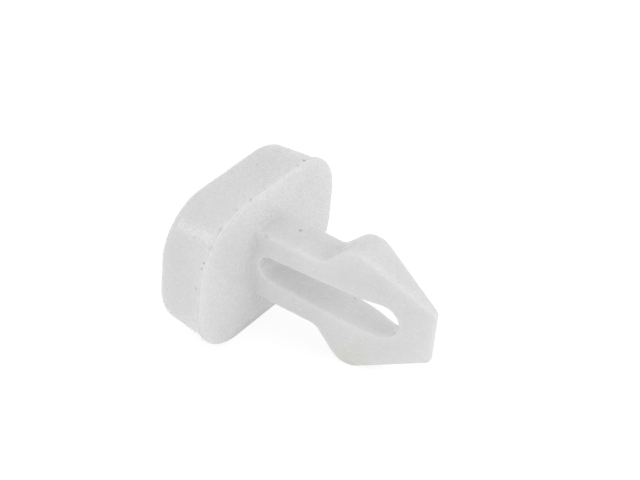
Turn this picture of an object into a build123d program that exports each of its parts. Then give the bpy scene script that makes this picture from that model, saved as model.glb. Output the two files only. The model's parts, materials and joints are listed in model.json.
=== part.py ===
from build123d import *
import math
import os

# Moulding clip, one piece of natural nylon. A thick rounded head is held in the channel of a body
# moulding, and a split stem with two barbs snaps into a hole in the body panel.
# Millimetres. It is drawn with +X from the head's seat to the tip of the stem, Y the way the slot runs
# through, and Z the way the two legs spring, then laid down on its side as it rests on a table.

# Head
head_width = 14.4
head_height = 11.1
head_thickness = 3.9
head_corner_radius = 4.4
head_draft_angle = 5.5
head_rim_radius = 0.8

# Lip round the seat, the face that bears on the panel
seat_lip_thickness = 0.3
seat_lip_step = 0.12
seat_lip_edge_radius = 0.1

# Stem, its lengths measured from the seat
stem_length = 13.3
stem_width_at_seat = 3.15
stem_width_at_barbs = 2.65
narrowing_start = 8.0
narrowing_blend_radius = 8.0
stem_edge_radius = 0.22
stem_root_radius = 0.35

# Neck, the straight stretch that stays in the panel's hole
neck_height = 5.3
neck_length = 5.15
neck_blend_radius = 1.0

# Barbs, their span taken across the corners before rounding
barb_span = 10.0
barb_position = 7.4
barb_radius = 1.8

# Tip
tip_height = 4.0
tip_width = 0.5
tip_corner_radius = 0.4

# Slot between the legs, a round at each end and straight sides between the rounds
slot_start = 0.45
slot_root_radius = 0.9
slot_end = 11.0
slot_end_radius = 1.3
slot_edge_radius = 0.12

# Search for the angle at which the clip rests
steepest_tilt = 45.0
tilt_tolerance = 0.0001


def corners_at(outline, x, y):
    """Corners of an outline at one point."""
    return [
        corner
        for corner in outline.vertices()
        if math.isclose(corner.X, x, abs_tol=1e-6) and math.isclose(corner.Y, y, abs_tol=1e-6)
    ]


def rounded_corner(outline, x, y, radius):
    """The outline with its corner at one point rounded."""
    return fillet(corners_at(outline, x, y), radius)


def mirrored_outline(upper_points):
    """Closed outline from the points of its upper half, read from the head to the tip."""
    lower_points = [(x, -y) for x, y in reversed(upper_points)]
    return make_face(Polyline(*upper_points, *lower_points, close=True))


def rounded_pair(outline, x, half_height, radius):
    """The outline with two mirrored corners rounded."""
    outline = rounded_corner(outline, x, half_height, radius)
    return rounded_corner(outline, x, -half_height, radius)


def head_outline(inset=0.0):
    """Rounded rectangle of the head, drawn in from its full size by an inset."""
    return RectangleRounded(
        head_width - 2 * inset,
        head_height - 2 * inset,
        head_corner_radius - inset,
    )


def head_wall_section(core_inset, outer_inset):
    """Section through the head's wall: the lip, the step behind it, the draft and the round rim."""
    back_of_lip = -seat_lip_thickness
    outer_face = -head_thickness
    section = make_face(
        Polyline(
            (0, -core_inset),
            (0, 0),
            (back_of_lip, 0),
            (back_of_lip, -seat_lip_step),
            (outer_face, -outer_inset),
            (outer_face, -core_inset),
            close=True,
        )
    )
    section = rounded_corner(section, 0, 0, seat_lip_edge_radius)
    section = rounded_corner(section, back_of_lip, 0, seat_lip_edge_radius)
    return rounded_corner(section, outer_face, -outer_inset, head_rim_radius)


def head():
    """Thick plate whose wall section is swept round its outline and filled in the middle."""
    drafted_depth = head_thickness - seat_lip_thickness
    outer_inset = seat_lip_step + drafted_depth * math.tan(math.radians(head_draft_angle))
    core_inset = (outer_inset + head_rim_radius + head_corner_radius) / 2
    rim_path = (Plane.YZ * head_outline()).wire()
    section_plane = Plane(
        origin=rim_path.position_at(0),
        x_dir=(1, 0, 0),
        z_dir=rim_path.tangent_at(0),
    )
    wall = sweep(section_plane * head_wall_section(core_inset, outer_inset), path=rim_path)
    core = extrude(Plane.YZ * head_outline(core_inset), -head_thickness)
    return wall + core


def stem_side_view():
    """Arrowhead with a straight neck, rounded barbs and a blunt tip."""
    outline = mirrored_outline([
        (-head_thickness / 2, neck_height / 2),
        (neck_length, neck_height / 2),
        (barb_position, barb_span / 2),
        (stem_length, tip_height / 2),
    ])
    outline = rounded_pair(outline, neck_length, neck_height / 2, neck_blend_radius)
    outline = rounded_pair(outline, barb_position, barb_span / 2, barb_radius)
    return rounded_pair(outline, stem_length, tip_height / 2, tip_corner_radius)


def stem_top_view():
    """Width of the stem: a slight draft to the barbs, then drawn in to a narrow tip."""
    draft_slope = (stem_width_at_seat - stem_width_at_barbs) / 2 / narrowing_start
    tip_slope = (stem_width_at_barbs - tip_width) / 2 / (stem_length - narrowing_start)
    overshoot = tip_width / 2
    outline = mirrored_outline([
        (-head_thickness / 2, stem_width_at_seat / 2 + draft_slope * head_thickness / 2),
        (narrowing_start, stem_width_at_barbs / 2),
        (stem_length + overshoot, tip_width / 2 - tip_slope * overshoot),
    ])
    return rounded_pair(outline, narrowing_start, stem_width_at_barbs / 2, narrowing_blend_radius)


def slot():
    """Cutter for the slot: two rounds joined by their outer tangents."""
    root_round = Pos(slot_start + slot_root_radius, 0) * Circle(slot_root_radius)
    end_round = Pos(slot_end - slot_end_radius, 0) * Circle(slot_end_radius)
    outline = make_hull((root_round + end_round).edges())
    return extrude(Plane.XZ * outline, stem_width_at_seat, both=True)


def stem():
    """Two legs joined at the head and at the tip, where both views of the stem meet."""
    side = extrude(Plane.XZ * stem_side_view(), stem_width_at_seat, both=True)
    top = extrude(stem_top_view(), barb_span, both=True)
    solid = side & top
    long_edges = new_edges(side, top, combined=solid)
    solid = fillet(long_edges, min(stem_edge_radius, tip_width * 0.4))
    cutter = slot()
    slotted = solid - cutter
    return fillet(new_edges(solid, cutter, combined=slotted), slot_edge_radius)


def clip():
    """Head and stem in one, with a fillet where the stem leaves the seat."""
    plate = head()
    legs = stem()
    whole = plate + legs
    root = new_edges(plate, legs, combined=whole)
    return fillet(root, min(stem_root_radius, slot_start * 0.8))


def lowest_point(shape, tilt):
    """Height of a shape's lowest point once the tip is tilted down by an angle."""
    return shape.rotate(Axis.Y, tilt).bounding_box().min.Z


def resting_tilt():
    """Angle at which the lip's lower edge and the lower barb touch the table together."""
    plate = head()
    legs = stem()
    low = -steepest_tilt
    high = steepest_tilt
    while high - low > tilt_tolerance:
        middle = (low + high) / 2
        if lowest_point(plate, middle) < lowest_point(legs, middle):
            low = middle
        else:
            high = middle
    return (low + high) / 2


def resting_clip():
    """The clip as it lies, with the middle of its underside at the origin."""
    lying = clip().rotate(Axis.Y, resting_tilt())
    box = lying.bounding_box()
    return Pos(-box.center().X, -box.center().Y, -box.min.Z) * lying


if __name__ == "__main__":
    os.makedirs("parts", exist_ok=True)
    export_step(resting_clip(), "parts/molding_clip.step")
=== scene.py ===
import json
import logging
import math
from dataclasses import dataclass
from enum import Enum

import bpy
from mathutils import Matrix, Vector
from mathutils.bvhtree import BVHTree


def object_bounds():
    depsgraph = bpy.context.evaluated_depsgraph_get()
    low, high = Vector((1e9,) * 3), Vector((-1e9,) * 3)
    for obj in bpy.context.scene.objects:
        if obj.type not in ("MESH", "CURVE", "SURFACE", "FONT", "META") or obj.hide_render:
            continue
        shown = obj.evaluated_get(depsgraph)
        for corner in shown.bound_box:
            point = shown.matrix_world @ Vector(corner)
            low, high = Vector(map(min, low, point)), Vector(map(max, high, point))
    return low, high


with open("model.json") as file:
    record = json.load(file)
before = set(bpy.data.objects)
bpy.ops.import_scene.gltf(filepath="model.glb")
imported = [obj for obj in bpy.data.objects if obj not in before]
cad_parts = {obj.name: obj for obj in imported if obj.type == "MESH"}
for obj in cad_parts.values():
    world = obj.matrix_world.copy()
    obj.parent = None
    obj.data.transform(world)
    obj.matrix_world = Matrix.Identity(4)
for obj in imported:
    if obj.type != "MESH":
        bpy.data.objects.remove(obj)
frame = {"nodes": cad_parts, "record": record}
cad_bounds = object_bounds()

# A one-piece moulding clip of natural nylon, lying on a pale studio floor. Lengths are in metres unless
# a name ends in _mm, and the axes are the frame's own: +X along the stem, +Y along the head, +Z up.
# A mark on the clip is placed by the pixel of the photograph that shows it, counted from the upper left.

log = logging.getLogger("moulding_clip")

CLIP_NODE = "molding_clip"
NYLON_SLOT = "natural_nylon"
SEAT_MOUNT = "panel_seat"
MM = 0.001
IMAGE_WIDTH_PX = 640
IMAGE_HEIGHT_PX = 480
SENSOR_WIDTH_MM = 36.0
NOISE_MEAN = 0.5
UP = Vector((0.0, 0.0, 1.0))

# Sockets of a Mix node set to colours, which share their names with its other sockets
MIX_SHARE = 0
MIX_FIRST_COLOUR = 6
MIX_SECOND_COLOUR = 7
MIX_COLOUR = 2

Triple = tuple[float, float, float]
Pixel = tuple[float, float]
Rgba = tuple[float, float, float, float]


class Tone(Enum):
    """Colours seen on the clip and round it, as linear light."""

    NYLON = (0.88, 0.88, 0.879)
    NYLON_PALE = (0.91, 0.91, 0.91)
    NYLON_YELLOWED = (0.87, 0.88, 0.815)
    # Dark of the dirt flecks and the lip band, and of the painted shade on the lip's corner and between
    # painted glints
    DIRT_AND_SHADE = (0.30, 0.29, 0.27)
    FLOOR = (0.97, 0.97, 0.97)
    FLOOR_SHADED = (0.45, 0.45, 0.45)
    WHITE = (1.0, 1.0, 1.0)

    @property
    def rgba(self) -> Rgba:
        """The tone with full opacity, as colour sockets take it."""
        return (*self.value, 1.0)


def direction(azimuth: float, elevation: float) -> Vector:
    """The way from the clip to something round it.

    Args:
        azimuth: Degrees round the clip, 0 on its -Y side and 90 on its +X side.
        elevation: Degrees above the floor.

    Returns:
        The unit vector.
    """
    turn = math.radians(azimuth)
    lift = math.radians(elevation)
    return Vector((math.sin(turn) * math.cos(lift), -math.cos(turn) * math.cos(lift), math.sin(lift)))


@dataclass(frozen=True)
class Viewpoint:
    """The camera's place, at the photograph's angle to the clip."""

    target: Vector
    azimuth: float = 36.8
    elevation: float = 34.1
    roll: float = -1.3
    distance: float = 0.1260
    right_shift: float = -0.18 * MM
    up_shift: float = 2.16 * MM
    focal_px: float = 1928.5
    clip_start: float = 1 * MM

    @property
    def axes(self) -> Matrix:
        """The camera's right, up and backward directions, as a matrix's columns."""
        back = direction(self.azimuth, self.elevation)
        level_right = UP.cross(back).normalized()
        level = Matrix((level_right, back.cross(level_right), back)).transposed()
        return Matrix.Rotation(math.radians(self.roll), 3, back) @ level

    @property
    def eye(self) -> Vector:
        """The point that the camera looks from."""
        return self.target + self.axes @ Vector((self.right_shift, self.up_shift, self.distance))

    def line_of_sight(self, pixel: Pixel) -> Vector:
        """The direction in which the camera sees a pixel.

        Args:
            pixel: The pixel of the photograph.

        Returns:
            The unit vector from the eye.
        """
        across = pixel[0] - IMAGE_WIDTH_PX / 2
        down = pixel[1] - IMAGE_HEIGHT_PX / 2
        return (self.axes @ Vector((across, -down, -self.focal_px))).normalized()

    def build(self) -> None:
        """Makes the camera."""
        data = bpy.data.cameras.new("camera")
        data.sensor_width = SENSOR_WIDTH_MM
        data.lens = self.focal_px * SENSOR_WIDTH_MM / IMAGE_WIDTH_PX
        data.clip_start = self.clip_start
        camera = bpy.data.objects.new("camera", data)
        camera.matrix_world = Matrix.Translation(self.eye) @ self.axes.to_4x4()
        bpy.context.scene.collection.objects.link(camera)
        bpy.context.scene.camera = camera
        log.info("placed the camera")


class Wire:
    """A value or vector socket in a node tree, with the sums that the finishes use."""

    def __init__(self, paint: "Paint", socket: bpy.types.NodeSocket) -> None:
        """Wraps a socket.

        Args:
            paint: The node tree that the socket belongs to.
            socket: The output socket.
        """
        self.paint = paint
        self.socket = socket

    def _sum(self, operation: str, *terms: "Wire | float") -> "Wire":
        """One Math node on the given terms."""
        return self.paint.node("ShaderNodeMath", {"operation": operation}, dict(enumerate(terms)))

    def __add__(self, other: "Wire | float") -> "Wire":
        """This plus another."""
        return self._sum("ADD", self, other)

    def __radd__(self, other: float) -> "Wire":
        """A number plus this."""
        return self._sum("ADD", other, self)

    def __sub__(self, other: "Wire | float") -> "Wire":
        """This less another."""
        return self._sum("SUBTRACT", self, other)

    def __rsub__(self, other: float) -> "Wire":
        """A number less this."""
        return self._sum("SUBTRACT", other, self)

    def __mul__(self, other: "Wire | float") -> "Wire":
        """This times another."""
        return self._sum("MULTIPLY", self, other)

    def __rmul__(self, other: float) -> "Wire":
        """A number times this."""
        return self._sum("MULTIPLY", other, self)

    def __or__(self, other: "Wire | float") -> "Wire":
        """This or another, whichever is larger."""
        return self._sum("MAXIMUM", self, other)

    def __ror__(self, other: float) -> "Wire":
        """A number or this, whichever is larger."""
        return self._sum("MAXIMUM", other, self)

    def __abs__(self) -> "Wire":
        """This without its sign."""
        return self._sum("ABSOLUTE", self)

    def ramp(self, low: float, high: float) -> "Wire":
        """A smooth rise from 0 at low to 1 at high.

        Args:
            low: The value that gives 0.
            high: The value that gives 1; below low, the ramp falls.

        Returns:
            The ramped value.
        """
        inputs = {"Value": self, "From Min": low, "From Max": high, "To Min": 0.0, "To Max": 1.0}
        return self.paint.node("ShaderNodeMapRange", {"interpolation_type": "SMOOTHSTEP"}, inputs, "Result")


class Paint:
    """A material's or world's node tree, written as expressions."""

    def __init__(self, tree: bpy.types.NodeTree) -> None:
        """Empties a node tree.

        Args:
            tree: The node tree to write in.
        """
        self.tree = tree
        tree.nodes.clear()

    def node(
        self,
        kind: str,
        settings: dict[str, object] | None = None,
        inputs: dict[str | int, object] | None = None,
        output: str | int = 0,
    ) -> Wire | None:
        """Adds a node.

        Args:
            kind: The node's type.
            settings: Its properties, set before its inputs.
            inputs: Values or wires by the input's name or number.
            output: The output to return.

        Returns:
            The named output, or None from a node that has no outputs.
        """
        made = self.tree.nodes.new(kind)
        for name, value in (settings or {}).items():
            setattr(made, name, value)
        for name, value in (inputs or {}).items():
            self.feed(made.inputs[name], value)
        return Wire(self, made.outputs[output]) if made.outputs else None

    def feed(self, socket: bpy.types.NodeSocket, value: object) -> None:
        """Links a wire to a socket, or sets the socket to a value.

        Args:
            socket: The input socket.
            value: A wire, a tone, a number or a vector.
        """
        if isinstance(value, Wire):
            self.tree.links.new(value.socket, socket)
        elif isinstance(value, Tone):
            socket.default_value = value.rgba
        else:
            socket.default_value = value

    def mix(self, share: Wire, first: Wire | Tone, second: Wire | Tone) -> Wire:
        """A colour between two.

        Args:
            share: 0 for the first colour, 1 for the second.
            first: The first colour.
            second: The second colour.

        Returns:
            The mixed colour.
        """
        inputs = {MIX_SHARE: share, MIX_FIRST_COLOUR: first, MIX_SECOND_COLOUR: second}
        return self.node("ShaderNodeMix", {"data_type": "RGBA"}, inputs, MIX_COLOUR)

    def place_mm(self) -> Wire:
        """The point on the object, in millimetres of its own frame."""
        point = self.node("ShaderNodeTexCoord", output="Object")
        return self.node("ShaderNodeVectorMath", {"operation": "SCALE"}, {0: point, "Scale": 1 / MM})

    def in_sight(self) -> Wire:
        """Whether a ray shows what it meets, directly, in a gloss or through a clear piece.

        Returns:
            1 for such a ray and 0 for one that only carries light.
        """
        direct = self.node("ShaderNodeLightPath", output="Is Camera Ray")
        in_gloss = self.node("ShaderNodeLightPath", output="Is Glossy Ray")
        through = self.node("ShaderNodeLightPath", output="Is Transmission Ray")
        return direct | in_gloss | through

    def noise(self, place: Wire, per_mm: float, octaves: float) -> Wire:
        """Smooth noise of a given fineness.

        Args:
            place: The point, in millimetres.
            per_mm: Features in a millimetre.
            octaves: Octaves of finer noise on top.

        Returns:
            The noise, from 0 to 1 and NOISE_MEAN on average.
        """
        return self.node("ShaderNodeTexNoise", {}, {"Vector": place, "Scale": per_mm, "Detail": octaves})

    def ripple(self, place: Wire, per_mm: float, octaves: float) -> Wire:
        """The same noise, rising and falling about 0."""
        return self.noise(place, per_mm, octaves) - NOISE_MEAN

    def dots(self, place: Wire, per_mm: float) -> Wire:
        """Distance from the nearest of many scattered points.

        Args:
            place: The point, in millimetres.
            per_mm: Scattered points in a millimetre.

        Returns:
            The distance, as a share of their spacing.
        """
        return self.node("ShaderNodeTexVoronoi", {}, {"Vector": place, "Scale": per_mm}, "Distance")


class Skin:
    """The clip's surface: where the photograph's pixels fall on it, and where its seat lies."""

    def __init__(self, solid: bpy.types.Object, view: Viewpoint) -> None:
        """Reads the surface and the seat's plane from the frame.

        Args:
            solid: The clip's solid.
            view: The photograph's viewpoint.
        """
        corners = [corner.co for corner in solid.data.vertices]
        faces = [tuple(face.vertices) for face in solid.data.polygons]
        self.surface = BVHTree.FromPolygons(corners, faces)
        self.view = view
        seat = next(mount for mount in frame["record"]["mounts"] if mount["name"] == SEAT_MOUNT)
        self.seat_mm: Triple = tuple(Vector(seat["pos_m"]) / MM)
        self.seat_axis: Triple = tuple(seat["axis"])

    def under(self, pixel: Pixel) -> Triple:
        """The place on the clip that a pixel shows, in millimetres."""
        place, *_ = self.surface.ray_cast(self.view.eye, self.view.line_of_sight(pixel))
        return tuple(place / MM)

    def ahead(self, paint: Paint, place: Wire) -> Wire:
        """How far a point lies in front of the seat, in millimetres.

        Args:
            paint: The node tree to write in.
            place: The point, in millimetres.

        Returns:
            The distance, below 0 in the head.
        """
        offset = paint.node("ShaderNodeVectorMath", {"operation": "SUBTRACT"}, {0: place, 1: self.seat_mm})
        inputs = {0: offset, 1: self.seat_axis}
        return paint.node("ShaderNodeVectorMath", {"operation": "DOT_PRODUCT"}, inputs, "Value")


@dataclass(frozen=True)
class Spot:
    """A soft round mark on the skin, under one pixel of the photograph."""

    pixel: Pixel
    radius_mm: float
    strength: float = 1.0
    core: float = 0.4

    def mask(self, paint: Paint, place: Wire, skin: Skin) -> Wire:
        """How much of the mark shows at a point.

        Args:
            paint: The node tree to write in.
            place: The point, in millimetres.
            skin: The clip's surface.

        Returns:
            The mark's strength in its core, and 0 beyond its radius.
        """
        inputs = {0: place, 1: skin.under(self.pixel)}
        distance = paint.node("ShaderNodeVectorMath", {"operation": "DISTANCE"}, inputs, "Value")
        return distance.ramp(self.radius_mm, self.radius_mm * self.core) * self.strength


@dataclass(frozen=True)
class Blotches:
    """Scattered blotches, where smooth noise goes from an edge value to a core value."""

    per_mm: float
    octaves: float
    edge: float
    core: float

    def mask(self, paint: Paint, place: Wire) -> Wire:
        """How far inside a blotch a point lies."""
        return paint.noise(place, self.per_mm, self.octaves).ramp(self.edge, self.core)


@dataclass(frozen=True)
class LipBandAndShade:
    """A darker band along the lip just behind the seat, with darker patches, and painted shade on the lip's
    corner that dulls its highlight.
    """

    middle_mm: float = -0.12
    half_width_mm: float = 0.14
    band_depth: float = 0.07
    patches: Blotches = Blotches(per_mm=1.6, octaves=3.0, edge=0.48, core=0.66)
    patch_strength: float = 0.2
    # Painted shade on the lip's corner, dulling the highlight along its edge
    corner_mm: float = -0.06
    corner_half_width_mm: float = 0.058
    corner_painted_shade: float = 0.15

    def mask(self, paint: Paint, place: Wire, skin: Skin) -> Wire:
        """How much of the darkening shows at a point.

        Args:
            paint: The node tree to write in.
            place: The point, in millimetres.
            skin: The clip's surface.

        Returns:
            The darkening, from 0 where the skin keeps its colour.
        """
        ahead = skin.ahead(paint, place)
        line = abs(ahead - self.middle_mm).ramp(self.half_width_mm, 0.0)
        corner = abs(ahead - self.corner_mm).ramp(self.corner_half_width_mm, 0.0)
        patches = self.patches.mask(paint, place) * self.patch_strength
        # The band's darkening, plus painted shade on the lip's corner
        return line * (patches + self.band_depth) + corner * self.corner_painted_shade


@dataclass(frozen=True)
class PaintedGlints:
    """Painted highlight: pale grains where light glints on the head's corner, on the wall and along the
    upper leg's edge, with dark shades between them.
    """

    near_corner: Spot = Spot(pixel=(198, 234), radius_mm=1.35, core=0.3)
    wall: Spot = Spot(pixel=(283.5, 172), radius_mm=0.8, core=0.3)
    leg_edge: tuple[Spot, ...] = (
        Spot(pixel=(372, 262), radius_mm=0.45, core=0.3),
        Spot(pixel=(382, 271), radius_mm=0.45, core=0.3),
        Spot(pixel=(393.5, 279.5), radius_mm=0.45, core=0.3),
    )
    grains_per_mm: float = 4.5
    grain_edge: float = 0.42
    grain_core: float = 0.24
    shades: Blotches = Blotches(per_mm=6.0, octaves=0.0, edge=0.44, core=0.38)
    shade_strength: float = 0.06

    def colour(self, paint: Paint, place: Wire, skin: Skin, under: Wire) -> Wire:
        """The skin's colour with the painted highlight grains on it.

        Args:
            paint: The node tree to write in.
            place: The point, in millimetres.
            skin: The clip's surface.
            under: The colour without the grains.

        Returns:
            The colour with them.
        """
        # Painted highlight: pale grains in patches where light glints, with dark shades between them
        patches = (self.near_corner, self.wall, *self.leg_edge)
        glint_share = sum(patch.mask(paint, place, skin) for patch in patches)
        pale = glint_share * paint.dots(place, self.grains_per_mm).ramp(self.grain_edge, self.grain_core)
        dark = glint_share * self.shades.mask(paint, place) * self.shade_strength
        return paint.mix(dark, paint.mix(pale, under, Tone.WHITE), Tone.DIRT_AND_SHADE)


@dataclass(frozen=True)
class Dirt:
    """Flecks of dirt, part by part."""

    neck: tuple[Spot, ...] = (
        Spot(pixel=(300.5, 230.5), radius_mm=0.16, strength=0.5),
        Spot(pixel=(266.5, 236), radius_mm=0.24, strength=0.22),
    )
    wall: tuple[Spot, ...] = (
        Spot(pixel=(257, 164.5), radius_mm=0.14, strength=0.22),
    )
    lip: tuple[Spot, ...] = (
        Spot(pixel=(303.5, 160.5), radius_mm=0.16, strength=0.55),
        Spot(pixel=(297, 165), radius_mm=0.18, strength=0.2),
        Spot(pixel=(264.5, 188.5), radius_mm=0.16, strength=0.22),
        Spot(pixel=(251.5, 200), radius_mm=0.19, strength=0.28),
        Spot(pixel=(236.5, 210), radius_mm=0.18, strength=0.18),
        Spot(pixel=(220.5, 229), radius_mm=0.19, strength=0.22),
        Spot(pixel=(211, 248), radius_mm=0.22, strength=0.2),
        Spot(pixel=(204, 263), radius_mm=0.12, strength=0.45),
        Spot(pixel=(201.5, 268.5), radius_mm=0.12, strength=0.45),
        Spot(pixel=(196, 288.5), radius_mm=0.17, strength=0.22),
    )
    legs: tuple[Spot, ...] = (
        Spot(pixel=(355, 298.5), radius_mm=0.12, strength=0.3),
        Spot(pixel=(353.5, 301.5), radius_mm=0.1, strength=0.2),
        Spot(pixel=(327.5, 334.5), radius_mm=0.12, strength=0.1),
        Spot(pixel=(335.5, 351.5), radius_mm=0.12, strength=0.1),
    )

    @property
    def flecks(self) -> tuple[Spot, ...]:
        """All the flecks."""
        return (*self.neck, *self.wall, *self.lip, *self.legs)


@dataclass(frozen=True)
class NylonFinish:
    """Natural nylon as it leaves the mould: milky, translucent, with a fine sparkling grain."""

    roughness: float = 0.25
    roughness_spread: float = 0.2
    grain_per_mm: float = 5.0
    grain_octaves: float = 2.0
    grain_height_mm: float = 0.022
    glints: Blotches = Blotches(per_mm=7.0, octaves=0.0, edge=0.6, core=0.75)
    glint_height_mm: float = 0.016
    clouds: Blotches = Blotches(per_mm=0.28, octaves=3.0, edge=0.3, core=0.7)
    mottle_per_mm: float = 2.4
    mottle_octaves: float = 4.0
    mottle_depth: float = 1.4
    refraction: float = 1.53
    translucence: float = 1.0
    scatter_mm: float = 0.6
    scatter_by_colour: Triple = (1.0, 1.0, 0.98)
    yellowing: Spot = Spot(pixel=(351.5, 359.5), radius_mm=1.8, strength=0.7, core=0.3)
    # Painted highlight grains where light glints on the head's corner, wall and upper leg's edge
    painted_glints: PaintedGlints = PaintedGlints()
    # A darker band along the lip, and painted shade on the lip's corner
    lip_band_and_shade: LipBandAndShade = LipBandAndShade()
    dirt: Dirt = Dirt()

    def colour(self, paint: Paint, place: Wire, skin: Skin) -> Wire:
        """The nylon's colour with its clouds, mottling, painted highlight grains, the darker lip band with
        painted shade on the lip's corner, and dirt.

        Args:
            paint: The node tree to write in.
            place: The point, in millimetres.
            skin: The clip's surface.

        Returns:
            The colour.
        """
        mottle = paint.ripple(place, self.mottle_per_mm, self.mottle_octaves) * self.mottle_depth
        paleness = self.clouds.mask(paint, place) + mottle
        colour = paint.mix(paleness, Tone.NYLON, Tone.NYLON_PALE)
        colour = paint.mix(self.yellowing.mask(paint, place, skin), colour, Tone.NYLON_YELLOWED)
        # Painted highlight grains
        colour = self.painted_glints.colour(paint, place, skin, colour)
        # Darker lip band, and painted shade on the lip's corner
        colour = paint.mix(self.lip_band_and_shade.mask(paint, place, skin), colour, Tone.DIRT_AND_SHADE)
        for fleck in self.dirt.flecks:
            colour = paint.mix(fleck.mask(paint, place, skin), colour, Tone.DIRT_AND_SHADE)
        return colour

    def material(self, skin: Skin) -> bpy.types.Material:
        """Builds the material.

        Args:
            skin: The clip's surface.

        Returns:
            The finished material.
        """
        made = bpy.data.materials.new(NYLON_SLOT)
        made.use_nodes = True
        paint = Paint(made.node_tree)
        place = paint.place_mm()
        grain = paint.ripple(place, self.grain_per_mm, self.grain_octaves)
        glints = self.glints.mask(paint, place)
        height_mm = grain * self.grain_height_mm + glints * self.glint_height_mm
        shader = paint.node(
            "ShaderNodeBsdfPrincipled",
            {"subsurface_method": "RANDOM_WALK"},
            {
                "Base Color": self.colour(paint, place, skin),
                "Roughness": self.roughness + grain * self.roughness_spread,
                "Normal": paint.node("ShaderNodeBump", {}, {"Distance": MM, "Height": height_mm}),
                "IOR": self.refraction,
                "Subsurface Weight": self.translucence,
                "Subsurface Radius": self.scatter_by_colour,
                "Subsurface Scale": self.scatter_mm * MM,
            },
        )
        paint.node("ShaderNodeOutputMaterial", {}, {"Surface": shader})
        return made


@dataclass(frozen=True)
class MouldingClip:
    """The clip itself: its solid comes with the frame and gets its finish here."""

    view: Viewpoint
    finish: NylonFinish = NylonFinish()

    def dress(self) -> None:
        """Gives the clip's solid the nylon finish."""
        solid = frame["nodes"][CLIP_NODE]
        solid.data.materials.clear()
        solid.data.materials.append(self.finish.material(Skin(solid, self.view)))
        log.info("dressed %s with %d faces", CLIP_NODE, len(solid.data.polygons))


@dataclass(frozen=True)
class Floor:
    """A wide pale floor that reaches the picture's white and keeps the clip's soft shadow."""

    half_side: float = 2.0
    glow: float = 0.72

    def build(self) -> None:
        """Makes the floor under the clip."""
        side = self.half_side
        mesh = bpy.data.meshes.new("floor")
        corners = [(-side, -side, 0.0), (side, -side, 0.0), (side, side, 0.0), (-side, side, 0.0)]
        mesh.from_pydata(corners, [], [(0, 1, 2, 3)])
        floor = bpy.data.objects.new("floor", mesh)
        bpy.context.scene.collection.objects.link(floor)
        mesh.materials.append(self.material())
        log.info("laid the floor")

    def material(self) -> bpy.types.Material:
        """Matt paint that lights the clip as a pale floor does, and looks white where nothing shades it.

        Returns:
            The finished material.
        """
        made = bpy.data.materials.new("floor_paint")
        made.use_nodes = True
        paint = Paint(made.node_tree)
        pale = paint.node("ShaderNodeBsdfDiffuse", {}, {"Color": Tone.FLOOR})
        shaded = paint.node("ShaderNodeBsdfDiffuse", {}, {"Color": Tone.FLOOR_SHADED})
        glow = paint.node("ShaderNodeEmission", {}, {"Color": Tone.WHITE, "Strength": self.glow})
        seen = paint.node("ShaderNodeAddShader", {}, {0: shaded, 1: glow})
        surface = paint.node("ShaderNodeMixShader", {}, {0: paint.in_sight(), 1: pale, 2: seen})
        paint.node("ShaderNodeOutputMaterial", {}, {"Surface": surface})
        return made


@dataclass(frozen=True)
class SoftBox:
    """A square lamp with a soft light, facing the clip."""

    name: str
    azimuth: float
    elevation: float
    side: float
    power: float
    distance: float = 0.5

    def build(self, target: Vector) -> None:
        """Places the lamp.

        Args:
            target: The point that it faces.
        """
        data = bpy.data.lights.new(self.name, "AREA")
        data.shape = "SQUARE"
        data.size = self.side
        data.energy = self.power
        lamp = bpy.data.objects.new(self.name, data)
        back = direction(self.azimuth, self.elevation)
        lamp.location = target + back * self.distance
        lamp.rotation_euler = back.to_track_quat("Z", "Y").to_euler()
        bpy.context.scene.collection.objects.link(lamp)


@dataclass(frozen=True)
class Studio:
    """Plain soft light from a white room and three soft boxes."""

    room_light: float = 0.655
    key: SoftBox = SoftBox("key_light", azimuth=-44.0, elevation=39.0, side=0.08, power=0.14)
    near: SoftBox = SoftBox("near_light", azimuth=20.0, elevation=20.0, side=0.5, power=0.08)
    low: SoftBox = SoftBox("low_light", azimuth=96.0, elevation=6.0, side=0.5, power=0.68)

    def build(self, target: Vector) -> None:
        """Makes the room and the lamps.

        Args:
            target: The point that the lamps face.
        """
        world = bpy.data.worlds.new("white_room")
        world.use_nodes = True
        bpy.context.scene.world = world
        paint = Paint(world.node_tree)
        strength = self.room_light + paint.in_sight() * (1.0 - self.room_light)
        room = paint.node("ShaderNodeBackground", {}, {"Color": Tone.WHITE, "Strength": strength})
        paint.node("ShaderNodeOutputWorld", {}, {"Surface": room})
        for lamp in (self.key, self.near, self.low):
            lamp.build(target)
            log.info("hung %s", lamp.name)


def main() -> None:
    """Dresses the clip and sets up the studio round it."""
    logging.basicConfig(level=logging.INFO, format="%(message)s")
    low, high = (Vector(corner) for corner in cad_bounds)
    middle = (low + high) / 2
    view = Viewpoint(target=middle)
    bpy.context.scene.view_settings.view_transform = "Standard"
    view.build()
    MouldingClip(view).dress()
    Floor().build()
    Studio().build(middle)


if __name__ == "__main__":
    main()
